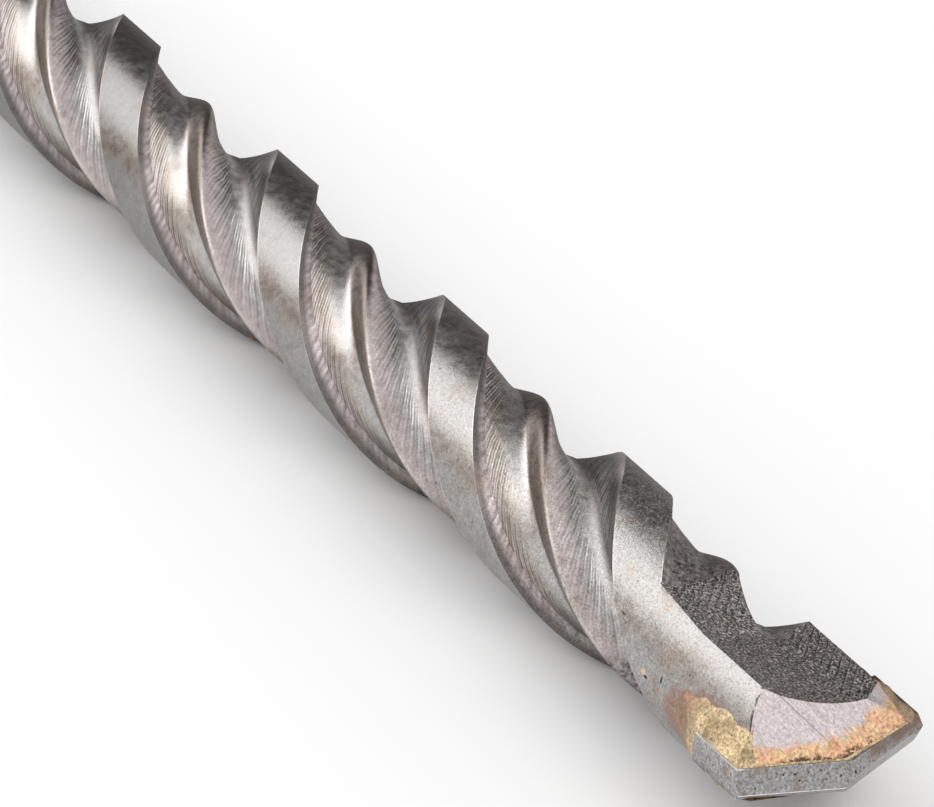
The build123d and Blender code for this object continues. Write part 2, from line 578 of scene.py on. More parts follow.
    def helix(self, sizes: BitSizes) -> Output:
        """Where a point lies across its half of the fluted section.

        It is twice the angle about the axis less the turn of the front edge there, all in
        turns, without its whole part.

        Args:
            sizes: sizes of the bit.

        Returns:
            0 at a land's front edge and 1 at the next one.
        """
        angle = self.calc("DIVIDE", self.angle, FULL_TURN)
        run = self.calc("DIVIDE", self.less(self.x, sizes.overall_length), sizes.flute_lead)
        turn = self.less(self.less(angle, run), sizes.front_edge_angle_at_tip / FULL_TURN)
        return self.calc("FRACT", self.times(turn, 2.0))

    def finish(self, colour: Value, metallic: Value, roughness: Value, normal: Output) -> bpy.types.Material:
        """Feeds the shader.

        Args:
            colour: base colour.
            metallic: share of metal.
            roughness: roughness of the gloss.
            normal: normal of the surface.

        Returns:
            The finished material.
        """
        looks = {"Base Color": colour, "Metallic": metallic, "Roughness": roughness, "Normal": normal}
        for name, value in looks.items():
            self.feed(self.shader.inputs[name], value)
        return self.material


# In the finishes, a pair of steps is the value at which something starts and the one at which
# it is full, and two more numbers are its strengths there. A grain is the scale of a noise,
# and may go on with its detail and roughness. Speckles are the lowest and highest level of a
# fine grain and its scale.


@dataclass(frozen=True)
class DirtAndShadowMark:
    """Small mark on the steel, such as dirt, a crack or the painted shadow of a speck, at a station and an
    angle, with its half sizes along and round the axis.
    """

    station: float
    angle: float
    half_length: float
    half_width: float
    colour: Colour
    ragged_grain: Grain = (7.0, 2.0)
    ragged: float = 1.2
    edge: Steps = (1.7, 1.5)

    def paint(self, sheet: Sheet, colour: Value, body_radius: float) -> Output:
        """Paints the mark, an ellipse with a ragged edge, over a colour.

        Args:
            sheet: the material's nodes.
            colour: colour under the mark.
            body_radius: radius of the steel there.

        Returns:
            The colour with the mark.
        """
        along = sheet.calc("DIVIDE", sheet.less(sheet.x, self.station), self.half_length)
        degrees = math.degrees(self.half_width / body_radius)
        round_axis = sheet.calc("WRAP", sheet.less(sheet.angle, self.angle), HALF_TURN, -HALF_TURN)
        across = sheet.calc("DIVIDE", round_axis, degrees)
        off_middle = sheet.length_of(along, across)
        edge = sheet.times_plus(sheet.noise(*self.ragged_grain), self.ragged, off_middle)
        return sheet.blend(sheet.steps(edge, *self.edge), colour, self.colour)


@dataclass(frozen=True)
class HeatStain:
    """Stain round the plate's proud ends: a red-brown ring with grainy gold inside it."""

    rust: Colour = (0.34, 0.215, 0.17)
    speckles: Speckles = (0.6, 1.4, 6.0)
    core: Stops = ((0.38, (0.08, 0.055, 0.035)), (0.5, (0.36, 0.24, 0.13)), (0.64, (0.80, 0.55, 0.30)))
    half_length: float = 4.9
    half_angle: float = 27.0
    middle: float = 154.2
    edge_grain: Grain = (0.8, 2.0)
    ragged: float = 0.5
    near_side: Steps = (1.0, -1.0, 0.25, 1.0)
    ring_edge: Steps = (1.16, 0.88)
    ring_strength: float = 0.85
    core_edge: Steps = (0.9, 0.55)
    core_grain: Grain = (5.0, 3.0, 0.7)

    def paint(self, sheet: Sheet, colour: Value) -> Output:
        """Paints the stain over a colour.

        Args:
            sheet: the material's nodes.
            colour: colour under the stain.

        Returns:
            The colour with the stain.
        """
        off_plate = sheet.size_of(sheet.calc("WRAP", sheet.angle, HALF_TURN / 2, -HALF_TURN / 2))
        across = sheet.calc("DIVIDE", off_plate, self.half_angle)
        along = sheet.calc("DIVIDE", sheet.less(sheet.x, self.middle), self.half_length)
        wander = sheet.less(sheet.noise(*self.edge_grain), 0.5)
        edge = sheet.times_plus(wander, self.ragged, sheet.length_of(across, along))
        side = sheet.steps(sheet.y, *self.near_side)
        ring = sheet.times(sheet.steps(edge, *self.ring_edge), sheet.times(side, self.ring_strength))
        inside = sheet.times(sheet.steps(edge, *self.core_edge), side)
        core = sheet.ramp(sheet.noise(*self.core_grain), self.core)
        rust = sheet.speckle(self.rust, *self.speckles)
        return sheet.blend(inside, sheet.blend(ring, colour, rust), core)


@dataclass(frozen=True)
class Burr:
    """Dark jagged burr where the land ends at the heel face and its twin."""

    colour: Colour = (0.10, 0.085, 0.075)
    edge_grain: Grain = (2.4, 3.0)
    ragged: float = 0.5
    before_face: Steps = (0.02, 0.14)
    gap_grain: Grain = (4.0, 2.0)
    gaps: Steps = (0.44, 0.5)

    def paint(self, sheet: Sheet, colour: Value, sizes: BitSizes) -> Output:
        """Paints the burr over a colour.

        Args:
            sheet: the material's nodes.
            colour: colour under the burr.
            sizes: sizes of the bit.

        Returns:
            The colour with the burr.
        """
        along = sheet.times(sheet.y_of_side(), sizes.heel.along)
        slant = sheet.plus(along, sheet.times(sheet.size_of(sheet.z), sizes.heel.across))
        edge = sheet.times_plus(sheet.noise(*self.edge_grain), self.ragged, sheet.less(sheet.x, slant))
        end = sizes.overall_length + sizes.heel.step
        close = sheet.steps(edge, *(end + step for step in self.before_face))
        broken = sheet.steps(sheet.noise(*self.gap_grain), *self.gaps)
        return sheet.blend(sheet.times(close, broken), colour, self.colour)


@dataclass(frozen=True)
class GashMouth:
    """Dark speckled flank where the flute runs out into the straight gash."""

    colour: Colour = (0.17, 0.15, 0.145)
    speckles: Speckles = (0.1, 2.8, 3.2)
    start: Steps = (138.0, 142.0)
    behind_land: Steps = (47.0, 49.0)
    wrap_from: float = 20.0
    left_side: Steps = (128.0, 118.0)
    right_side: Steps = (20.0, 32.0)
    strength: float = 0.95

    def share(self, sheet: Sheet, turn: Output) -> Output:
        """How far the mouth covers the steel.

        Args:
            sheet: the material's nodes.
            turn: angle behind the land's front edge.

        Returns:
            The share, from 0 to 1.
        """
        angle = sheet.calc("WRAP", sheet.angle, self.wrap_from + HALF_TURN, self.wrap_from)
        along = sheet.times(sheet.steps(sheet.x, *self.start), sheet.steps(turn, *self.behind_land))
        across = sheet.times(sheet.steps(angle, *self.left_side), sheet.steps(angle, *self.right_side))
        return sheet.times(along, sheet.times(across, self.strength))


@dataclass(frozen=True)
class MillingMarks:
    """Slanted marks of the milling cutter on the steep walls of the flutes."""

    walls: Stops = (
        (0.0, 0.0),
        (46.0, 0.1),
        (50.0, 1.0),
        (60.0, 0.8),
        (68.0, 0.0),
        (85.0, 0.15),
        (92.0, 0.9),
        (106.0, 0.4),
        (112.0, 0.0),
        (140.0, 0.0),
        (155.0, 0.05),
        (166.0, 0.7),
        (176.0, 0.8),
        (179.0, 0.0),
    )
    drift: float = 9.0
    pitch_angle: float = 9.0
    wander_grain: Grain = (0.7, 2.0)
    wander: float = 3.0
    finer: float = 2.3

    def height(self, sheet: Sheet, turn: Output) -> Output:
        """Height of the marks.

        It is the mean of two sines of the angle behind the front edge less a drift along the
        axis, shown only on the walls.

        Args:
            sheet: the material's nodes.
            turn: angle behind the land's front edge.

        Returns:
            The height, from 0 to 1.
        """
        stops = tuple((angle / HALF_TURN, share) for angle, share in self.walls)
        where = sheet.ramp(sheet.calc("DIVIDE", turn, HALF_TURN), stops)
        slanted = sheet.less(turn, sheet.times(sheet.x, self.drift))
        wander = sheet.times(sheet.noise(*self.wander_grain), self.wander)
        phase = sheet.plus(sheet.times(slanted, math.tau / self.pitch_angle), wander)
        fine = sheet.plus(sheet.times(phase, self.finer), 1.0)
        wave = sheet.plus(sheet.calc("SINE", phase), sheet.calc("SINE", fine))
        return sheet.times(where, sheet.times_plus(wave, 0.25, 0.5))


@dataclass(frozen=True)
class FluteSteel:
    """Rolled and blasted steel of the lands and flutes, with milling marks and the tints of heat."""

    land: Colour = (0.425, 0.41, 0.40)
    line: Colour = (0.66, 0.60, 0.58)
    wall: Colour = (0.205, 0.195, 0.195)
    valley: Colour = (0.535, 0.515, 0.505)
    deep_valley: Colour = (0.63, 0.61, 0.60)
    pink: Colour = (0.64, 0.565, 0.555)
    stripe: Colour = (0.22, 0.188, 0.17)
    underside_shade: Colour = (0.13, 0.12, 0.11)
    beige: Colour = (0.52, 0.48, 0.44)
    # Painted shade for the low sides of the valleys, which face the floor.
    dark_edge: Colour = (0.19, 0.17, 0.165)
    bronze: Colour = (0.33, 0.23, 0.165)
    gold: Colour = (0.80, 0.55, 0.30)
    pit: Colour = (0.03, 0.025, 0.02)
    milling: MillingMarks = MillingMarks()
    mouth: GashMouth = GashMouth()
    stain: HeatStain = HeatStain()
    burr: Burr = Burr()
    dirt_and_shadow: tuple[DirtAndShadowMark, ...] = (
        # Painted shadow beside the tan speck that follows.
        DirtAndShadowMark(147.35, 174.5, 0.2, 0.1, (0.07, 0.055, 0.05)),
        DirtAndShadowMark(147.1, 172.4, 0.2, 0.17, (0.75, 0.55, 0.4)),
        DirtAndShadowMark(148.7, 167.9, 0.07, 0.24, (0.03, 0.025, 0.02)),
        DirtAndShadowMark(144.0, 151.0, 0.2, 0.06, (0.08, 0.07, 0.06)),
        DirtAndShadowMark(152.4, 186.5, 0.3, 0.16, (0.06, 0.045, 0.035)),
    )
    after_shank: Steps = (3.0, 13.0)
    under_round: Steps = (-0.15, -0.05)
    before_head: Steps = (-0.3, 0.0)
    mark_shade: float = 0.62
    behind_land: Steps = (44.0, 48.0)
    on_land: Steps = (47.0, 44.0)
    land_shade: Steps = (65.0, 145.0, 0.58, 1.0)
    underside: Steps = (-0.8, -3.4, 0.0, 0.6)
    bronze_grain: Grain = (0.55, 3.0, 0.6)
    bronze_clouds: Steps = (0.50, 0.72, 0.0, 0.3)
    soft_grain: Grain = (1.9, 4.0, 0.6)
    soft_range: Steps = (0.3, 0.7)
    soft_tint: Stops = ((0.3, (0.80, 0.79, 0.78)), (0.65, 1.1))
    fine_grain: Grain = (8.0, 3.0, 0.7)
    fine_tint: Stops = ((0.33, (0.64, 0.63, 0.62)), (0.64, 1.22))
    blasted: Steps = (95.0, 140.0, 0.3, 1.0)
    near_head: Steps = (126.0, 142.0, 0.0, 0.75)
    fleck_grain: Grain = (3.6, 2.0, 0.5)
    flecks: Steps = (0.70, 0.74)
    fleck_dullness: float = 0.8
    dull_spots: Steps = (0.53, 0.64, 0.0, 0.42)
    pit_scale: float = 0.8
    pit_size: float = 0.09
    roughness: float = 0.27
    roughness_spread: float = 0.13
    wall_roughness: float = 0.19
    wall_start: Steps = (47.0, 56.0)
    wall_end: Steps = (92.0, 78.0)
    mouth_grain_share: float = 1.6
    blasted_grain_share: float = 0.9
    mark_depth: float = 0.032
    grain_depth: float = 0.016

    def bands(self, sheet: Sheet, helix: Output) -> Output:
        """Colours across the fluted section, at angles behind the land's front edge.

        Args:
            sheet: the material's nodes.
            helix: where a point lies across the section, from 0 to 1.

        Returns:
            The colour.
        """
        stops = (
            (0.0, self.line),
            (1.2, self.land),
            (43.5, self.land),
            (45.3, self.line),
            (48.5, self.wall),
            (66.0, self.wall),
            (79.0, self.deep_valley),
            (95.0, self.deep_valley),
            (104.0, self.pink),
            (111.0, self.pink),
            (113.0, self.line),
            (115.5, self.stripe),
            (134.0, self.stripe),
            (137.0, self.valley),
            (150.0, self.valley),
            (160.0, self.beige),
            (168.0, self.beige),
            (171.0, self.pink),
            (176.5, self.pink),
            (178.4, self.dark_edge),
        )
        return sheet.ramp(helix, tuple((angle / HALF_TURN, colour) for angle, colour in stops))

    def painted_light_and_wear(self, sheet: Sheet, colour: Value, turn: Output, banded: Output) -> Output:
        """Painted shade on the low sides of the valleys under the bit, clouds of bronze and the duller land
        far from the head.

        Args:
            sheet: the material's nodes.
            colour: colour of the clean steel.
            turn: angle behind the land's front edge.
            banded: share of the fluted stretch.

        Returns:
            The colour with the painted shade and the wear.
        """
        off_land = sheet.times(sheet.steps(turn, *self.behind_land), banded)
        # Painted shade: the valleys' low sides, facing the floor, are darkened as if shadowed.
        colour = sheet.blend(sheet.times(sheet.steps(sheet.z, *self.underside), off_land), colour, self.underside_shade)
        clouds = sheet.steps(sheet.noise(*self.bronze_grain), *self.bronze_clouds)
        colour = sheet.blend(clouds, colour, self.bronze)
        colour = sheet.tint(colour, sheet.ramp(sheet.noise(*self.soft_grain), self.soft_tint))
        on_land = sheet.times(sheet.steps(turn, *self.on_land), banded)
        shade_more = sheet.less(sheet.steps(sheet.x, *self.land_shade), 1.0)
        return sheet.darken(colour, sheet.times_plus(on_land, shade_more, 1.0))

    def gloss(self, sheet: Sheet, turn: Output, fluted: Output) -> Output:
        """Roughness, which is more on the wall of the deep valley.

        Args:
            sheet: the material's nodes.
            turn: angle behind the land's front edge.
            fluted: share of the fluted stretch.

        Returns:
            The roughness.
        """
        wall = sheet.times(sheet.steps(turn, *self.wall_start), sheet.steps(turn, *self.wall_end))
        most = self.roughness + self.roughness_spread
        roughness = sheet.steps(sheet.noise(*self.soft_grain), *self.soft_range, self.roughness, most)
        return sheet.plus(roughness, sheet.times(wall, sheet.times(fluted, self.wall_roughness)))

    def material(self, sizes: BitSizes) -> bpy.types.Material:
        """Builds the material.

        Args:
            sizes: sizes of the bit.

        Returns:
            The material.
        """
        sheet = Sheet("flute_steel")
        helix = sheet.helix(sizes)
        turn = sheet.times(helix, HALF_TURN)
        under_round = sheet.less(sheet.length_of(sheet.y, sheet.z), sizes.body_radius)
        past_head = sheet.less(sheet.x, sizes.overall_length - sizes.round_length)
        round_head = sheet.times(
            sheet.steps(under_round, *self.under_round), sheet.steps(past_head, *self.before_head)
        )
        fluted = sheet.steps(sheet.less(sheet.x, sizes.plain_shank_length), *self.after_shank)
        banded = sheet.times(fluted, sheet.less(1.0, round_head))
        mouth = self.mouth.share(sheet, turn)
        marked = sheet.calc("SUBTRACT", banded, mouth, clamp=True)
        marks = sheet.times(self.milling.height(sheet, turn), marked)
        blasted = sheet.steps(sheet.x, *self.blasted)
        near_head = sheet.steps(sheet.x, *self.near_head)
        grain = sheet.noise(*self.fine_grain)
        flecks = sheet.times(sheet.steps(sheet.noise(*self.fleck_grain), *self.flecks), near_head)
        colour = sheet.blend(banded, self.land, self.bands(sheet, helix))
        colour = sheet.darken(colour, sheet.times_plus(marks, -self.mark_shade, 1.0))
        colour = self.painted_light_and_wear(sheet, colour, turn, banded)
        colour = sheet.blend(blasted, colour, sheet.tint(colour, sheet.ramp(grain, self.fine_tint)))
        colour = sheet.blend(flecks, colour, self.gold)
        pits = sheet.times(sheet.pits(self.pit_scale, self.pit_size), blasted)
        colour = sheet.blend(pits, colour, self.pit)
        colour = sheet.blend(mouth, colour, sheet.speckle(self.mouth.colour, *self.mouth.speckles))
        colour = self.burr.paint(sheet, self.stain.paint(sheet, colour), sizes)
        for mark in self.dirt_and_shadow:
            colour = mark.paint(sheet, colour, sizes.body_radius)
        dull = sheet.times(sheet.steps(grain, *self.dull_spots), near_head)
        dull = sheet.calc("MAXIMUM", dull, sheet.times(flecks, self.fleck_dullness))
        blasted_share = sheet.times(blasted, self.blasted_grain_share)
        grain_share = sheet.times_plus(mouth, self.mouth_grain_share, blasted_share)
        level = sheet.times_plus(grain, grain_share, sheet.noise(*self.soft_grain))
        waves = sheet.bump(sheet.less(1.0, marks), self.mark_depth)
        normal = sheet.bump(level, self.grain_depth, waves)
        return sheet.finish(colour, sheet.less(1.0, dull), self.gloss(sheet, turn, fluted), normal)


@dataclass(frozen=True)
class GashSteel:
    """Dark blasted steel of the gash, with slanted marks of the cutter."""

    pit: Colour = (0.03, 0.027, 0.027)
    dark: Colour = (0.33, 0.295, 0.285)
    bright: Colour = (0.95, 0.88, 0.86)
    rust: Colour = (0.33, 0.2, 0.12)
    roughness: float = 0.42
    grain: Grain = (7.0, 3.0, 0.75)
    grain_depth: float = 0.02
    dull_grain: Steps = (0.52, 0.62, 1.0, 0.8)
    mark_slope: float = 0.95
    mark_pitch: float = 0.66
    mark_power: float = 5.0
    mark_depth: float = 0.03
    wander_grain: Grain = (0.9, 2.0)
    wander: float = 3.0
    outer_part: Steps = (0.9, 2.9, 0.05, 1.0)
    ridge_end: Steps = (149.8, 147.0, 0.0, 0.45)
    gap_grain: Grain = (1.6, 2.0)
    gaps: Steps = (0.36, 0.52, 0.35, 0.85)
    unmarked_level: float = 1.1
    rust_grain: Grain = (1.4, 3.0, 0.6)
    rust_clouds: Steps = (0.58, 0.75, 0.0, 0.4)

    def material(self) -> bpy.types.Material:
        """Builds the material, with marks along lines of constant y + slope * x, turned with the side.

        Returns:
            The material.
        """
        sheet = Sheet("gash_steel")
        grain = sheet.noise(*self.grain)
        stops = ((0.40, self.pit), (0.5, self.dark), (0.55, self.dark), (0.63, self.bright))
        colour = sheet.ramp(grain, stops)
        side_y = sheet.y_of_side()
        line = sheet.times_plus(sheet.x, self.mark_slope, side_y)
        wander = sheet.times(sheet.noise(*self.wander_grain), self.wander)
        phase = sheet.plus(sheet.times(line, math.tau / self.mark_pitch), wander)
        wave = sheet.calc("POWER", sheet.times_plus(sheet.calc("SINE", phase), 0.5, 0.5), self.mark_power)
        strength = sheet.calc(
            "MAXIMUM", sheet.steps(side_y, *self.outer_part), sheet.steps(sheet.x, *self.ridge_end)
        )
        marks = sheet.times(wave, strength)
        broken = sheet.steps(sheet.noise(*self.gap_grain), *self.gaps)
        colour = sheet.darken(colour, sheet.less(self.unmarked_level, sheet.times(marks, broken)))
        rusty = sheet.steps(sheet.noise(*self.rust_grain), *self.rust_clouds)
        colour = sheet.blend(rusty, colour, self.rust)
        normal = sheet.bump(grain, self.grain_depth, sheet.bump(marks, self.mark_depth))
        return sheet.finish(colour, sheet.steps(grain, *self.dull_grain), self.roughness, normal)


@dataclass(frozen=True)
class GroundSteel:
    """Pale ground steel of the end faces, with grinding lines and a copper edge along the plate."""

    pale: Colour = (0.66, 0.585, 0.58)
    copper: Colour = (0.72, 0.38, 0.235)
    gold: Colour = (0.83, 0.57, 0.31)
    flux: Colour = (0.04, 0.035, 0.025)
    # Painted shade for the ridge where the heel and front faces meet.
    crease_shade: Colour = (0.25, 0.2, 0.19)
    steel_speckles: Speckles = (0.68, 1.2, 6.0)
    copper_speckles: Speckles = (0.5, 1.3, 5.0)
    roughness: float = 0.4
    line_slope: float = 0.54
    lines_across: float = 11.0
    lines_along: float = 0.9
    line_grain: Grain = (1.0, 4.0, 0.75)
    line_tint: Stops = ((0.3, 0.62), (0.62, 1.2))
    line_depth: float = 0.012
    on_front: Steps = (-0.1, 0.2, 0.45, 1.0)
    at_crease: Steps = (0.05, 0.01, 0.0, 0.6)
    copper_edge: float = 1.75
    copper_soft: Steps = (0.2, -0.22)
    copper_strength: float = 0.93
    wave_grain: Grain = (0.62, 4.0, 0.62)
    copper_wave: float = 0.8
    streak_grain: Grain = (0.35, 3.0, 0.7)
    copper_streak: float = 0.9
    metal_grain: Grain = (1.4, 4.0, 0.7)
    flux_clouds: Steps = (0.44, 0.54)
    flux_cloud_grain: Grain = (0.55, 2.0)
    flux_spots: Steps = (0.42, 0.5)
    flux_spot_grain: Grain = (4.5, 3.0, 0.7)
    flux_edge: Steps = (1.48, 1.34)
    flux_edge_grain: Grain = (2.0,)
    flux_ragged: float = 0.5
    flux_strength: float = 0.9
    fine_grain: Grain = (7.0, 3.0, 0.7)

    def past_crease(self, sheet: Sheet, sizes: BitSizes) -> Output:
        """How far a point lies past the line where heel and front meet, on both sides.

        Args:
            sheet: the material's nodes.
            sizes: sizes of the bit.

        Returns:
            The difference of the two faces' stations, more than 0 on the front.
        """
        heel, front = sizes.heel, sizes.front
        along = sheet.times(sheet.y_of_side(), heel.along - front.along)
        across = sheet.times_plus(sheet.size_of(sheet.z), heel.across - front.across, along)
        return sheet.plus(across, heel.step - front.step)

    def copper_border(self, sheet: Sheet, colour: Value, grinding: Output) -> Output:
        """Copper and flux along the plate, with a wavy and streaky border.

        Args:
            sheet: the material's nodes.
            colour: colour of the ground steel.
            grinding: place along and across the grinding lines.

        Returns:
            The colour with the border.
        """
        height = sheet.size_of(sheet.z)
        slow = sheet.less(sheet.noise(*self.wave_grain), 0.5)
        streaks = sheet.less(sheet.noise(*self.streak_grain, at=grinding), 0.5)
        streaks = sheet.times(streaks, self.copper_streak)
        reach = sheet.plus(height, sheet.times_plus(slow, self.copper_wave * 2, streaks))
        plated = sheet.steps(reach, *(self.copper_edge + step for step in self.copper_soft))
        metal = sheet.ramp(sheet.noise(*self.metal_grain), ((0.38, self.copper), (0.64, self.gold)))
        metal = sheet.speckle(metal, *self.copper_speckles)
        colour = sheet.blend(sheet.times(plated, self.copper_strength), colour, metal)
        burnt = sheet.steps(sheet.noise(*self.flux_cloud_grain), *self.flux_clouds)
        spots = sheet.steps(sheet.noise(*self.flux_spot_grain), *self.flux_spots)
        ragged = sheet.times_plus(sheet.noise(*self.flux_edge_grain), self.flux_ragged, height)
        at_plate = sheet.steps(ragged, *self.flux_edge)
        flux = sheet.times(burnt, sheet.times(spots, at_plate))
        return sheet.blend(sheet.times(flux, self.flux_strength), colour, self.flux)

    def material(self, sizes: BitSizes) -> bpy.types.Material:
        """Builds the material, with grinding along lines of constant y + slope * z.

        Args:
            sizes: sizes of the bit.

        Returns:
            The material.
        """
        sheet = Sheet("ground_steel")
        past = self.past_crease(sheet, sizes)
        across = sheet.times_plus(sheet.z, self.line_slope, sheet.y)
        grinding = sheet.join(
            sheet.times(across, self.lines_across), sheet.times(sheet.z, self.lines_along), 0.0
        )
        lines = sheet.noise(*self.line_grain, at=grinding)
        lined = sheet.tint(self.pale, sheet.ramp(lines, self.line_tint))
        colour = sheet.blend(sheet.steps(past, *self.on_front), self.pale, lined)
        colour = sheet.speckle(colour, *self.steel_speckles)
        # Painted shade: a dark line along the ridge between the heel and front faces.
        crease = sheet.steps(sheet.size_of(past), *self.at_crease)
        colour = self.copper_border(sheet, sheet.blend(crease, colour, self.crease_shade), grinding)
        grains = sheet.bump(sheet.noise(*self.fine_grain), self.line_depth)
        return sheet.finish(colour, 1.0, self.roughness, sheet.bump(lines, self.line_depth, grains))


@dataclass(frozen=True)
class Carbide:
    """Grey sintered carbide with small dark pits, painted highlights on the near lip and rims, and burn
    clouds over painted shade at the far end.
    """

    grey: Colour = (0.355, 0.345, 0.34)
    stain: Colour = (0.30, 0.19, 0.12)
    # Burn stain colour, also laid as painted shade over the rake land at the far end.
    burnt: Colour = (0.24, 0.165, 0.125)
    pit: Colour = (0.03, 0.03, 0.03)
    # Painted highlight along the near lip and the rims of the near proud end.
    edge_highlight: Colour = (0.92, 0.90, 0.90)
    speckles: Speckles = (0.5, 1.6, 6.0)
    roughness: float = 0.36
    cloud_grain: Grain = (0.9, 4.0, 0.65)
    stain_clouds: Steps = (0.56, 0.72, 0.0, 0.6)
    burnt_side: Steps = (0.3, 0.7)
    burnt_end: Steps = (0.8, 2.0)
    burn_clouds_over_shade: Steps = (0.4, 0.56, 0.6, 0.95)
    pit_grain: Grain = (4.2, 3.0, 0.6)
    pits: Steps = (0.36, 0.31)
    lip_grain: Grain = (3.0, 3.0)
    lip_ragged: float = 0.06
    lip_edge: Steps = (0.08, 0.045)
    above_roof: Steps = (0.0, 0.1)
    near_side: Steps = (0.3, -0.3)
    inside_rim: Steps = (-0.05, -0.02)
    proud_end: Steps = (-5.4, -5.7)
    highlight_strength: float = 0.9
    bump_grain: Grain = (6.0, 3.0, 0.65)
    bump_depth: float = 0.018

    def painted_highlight(self, sheet: Sheet, sizes: BitSizes) -> Output:
        """Painted highlight on the near lip and on the rims of the near proud end.

        Args:
            sheet: the material's nodes.
            sizes: sizes of the bit.

        Returns:
            The share of painted highlight, from 0 to 1.
        """
        lip = sheet.times(sheet.z, sheet.calc("SIGN", sheet.y))
        off_lip = sheet.size_of(sheet.less(lip, sizes.rake_edge))
        ragged = sheet.times_plus(sheet.noise(*self.lip_grain), self.lip_ragged, off_lip)
        level = sheet.times_plus(sheet.size_of(sheet.y), sizes.lip_slope, sheet.x)
        on_roof = sheet.steps(sheet.less(level, sizes.overall_length), *self.above_roof)
        near_side = sheet.times(sheet.steps(sheet.y, *self.near_side), on_roof)
        lit_lip = sheet.times(sheet.steps(ragged, *self.lip_edge), near_side)
        rim = sheet.steps(sheet.less(sheet.size_of(sheet.z), sizes.half_plate), *self.inside_rim)
        return sheet.calc("MAXIMUM", lit_lip, sheet.times(rim, sheet.steps(sheet.y, *self.proud_end)))

    def material(self, sizes: BitSizes) -> bpy.types.Material:
        """Builds the material.

        Args:
            sizes: sizes of the bit.

        Returns:
            The material.
        """
        sheet = Sheet("carbide")
        colour = sheet.speckle(self.grey, *self.speckles)
        cloud = sheet.noise(*self.cloud_grain)
        colour = sheet.blend(sheet.steps(cloud, *self.stain_clouds), colour, self.stain)
        # Painted shade on the rake land at the far end: at least 0.6 of the burn colour, with burn clouds
        # over it.
        far_end = sheet.times(sheet.steps(sheet.z, *self.burnt_side), sheet.steps(sheet.y, *self.burnt_end))
        burnt = sheet.times(far_end, sheet.steps(cloud, *self.burn_clouds_over_shade))
        colour = sheet.blend(burnt, colour, self.burnt)
        pits = sheet.steps(sheet.noise(*self.pit_grain), *self.pits)
        colour = sheet.blend(pits, colour, self.pit)
        # Painted highlight on the near lip and rims.
        painted_light_and_wear = sheet.times(self.painted_highlight(sheet, sizes), self.highlight_strength)
        colour = sheet.blend(painted_light_and_wear, colour, self.edge_highlight)
        level = sheet.less(sheet.noise(*self.bump_grain), pits)
        return sheet.finish(colour, 1.0, self.roughness, sheet.bump(level, self.bump_depth))


@dataclass(frozen=True)
class Braze:
    """Grainy gold braze, redder and darker towards its tail."""

    light: Colour = (0.90, 0.76, 0.52)
    gold: Colour = (0.66, 0.50, 0.30)
    dark: Colour = (0.24, 0.175, 0.10)
    red: Colour = (0.36, 0.22, 0.16)
    speckles: Speckles = (0.6, 1.4, 6.0)
    roughness: float = 0.42
    grain: Grain = (6.5, 4.0, 0.75)
    grain_depth: float = 0.05
    dark_grain: Grain = (0.8, 3.0)
    dark_clouds: Steps = (0.48, 0.64, 0.0, 0.6)
    far_end: Steps = (4.0, 4.6, 0.0, 0.55)
    tail: Steps = (154.2, 152.2, 0.0, 0.85)
    tail_grain: Grain = (1.2, 3.0)
    tail_ragged: float = 2.0

    def material(self) -> bpy.types.Material:
        """Builds the material.

        Returns:
            The material.
        """
        sheet = Sheet("braze")
        grain = sheet.noise(*self.grain)
        colour = sheet.ramp(grain, ((0.36, self.dark), (0.5, self.gold), (0.66, self.light)))
        clouds = sheet.steps(sheet.noise(*self.dark_grain), *self.dark_clouds)
        colour = sheet.blend(clouds, colour, self.dark)
        colour = sheet.blend(sheet.steps(sheet.y, *self.far_end), colour, self.red)
        tail = sheet.times_plus(sheet.noise(*self.tail_grain), self.tail_ragged, sheet.x)
        red = sheet.speckle(self.red, *self.speckles)
        colour = sheet.blend(sheet.steps(tail, *self.tail), colour, red)
        return sheet.finish(colour, 1.0, self.roughness, sheet.bump(grain, self.grain_depth))


# Sub-assemblies


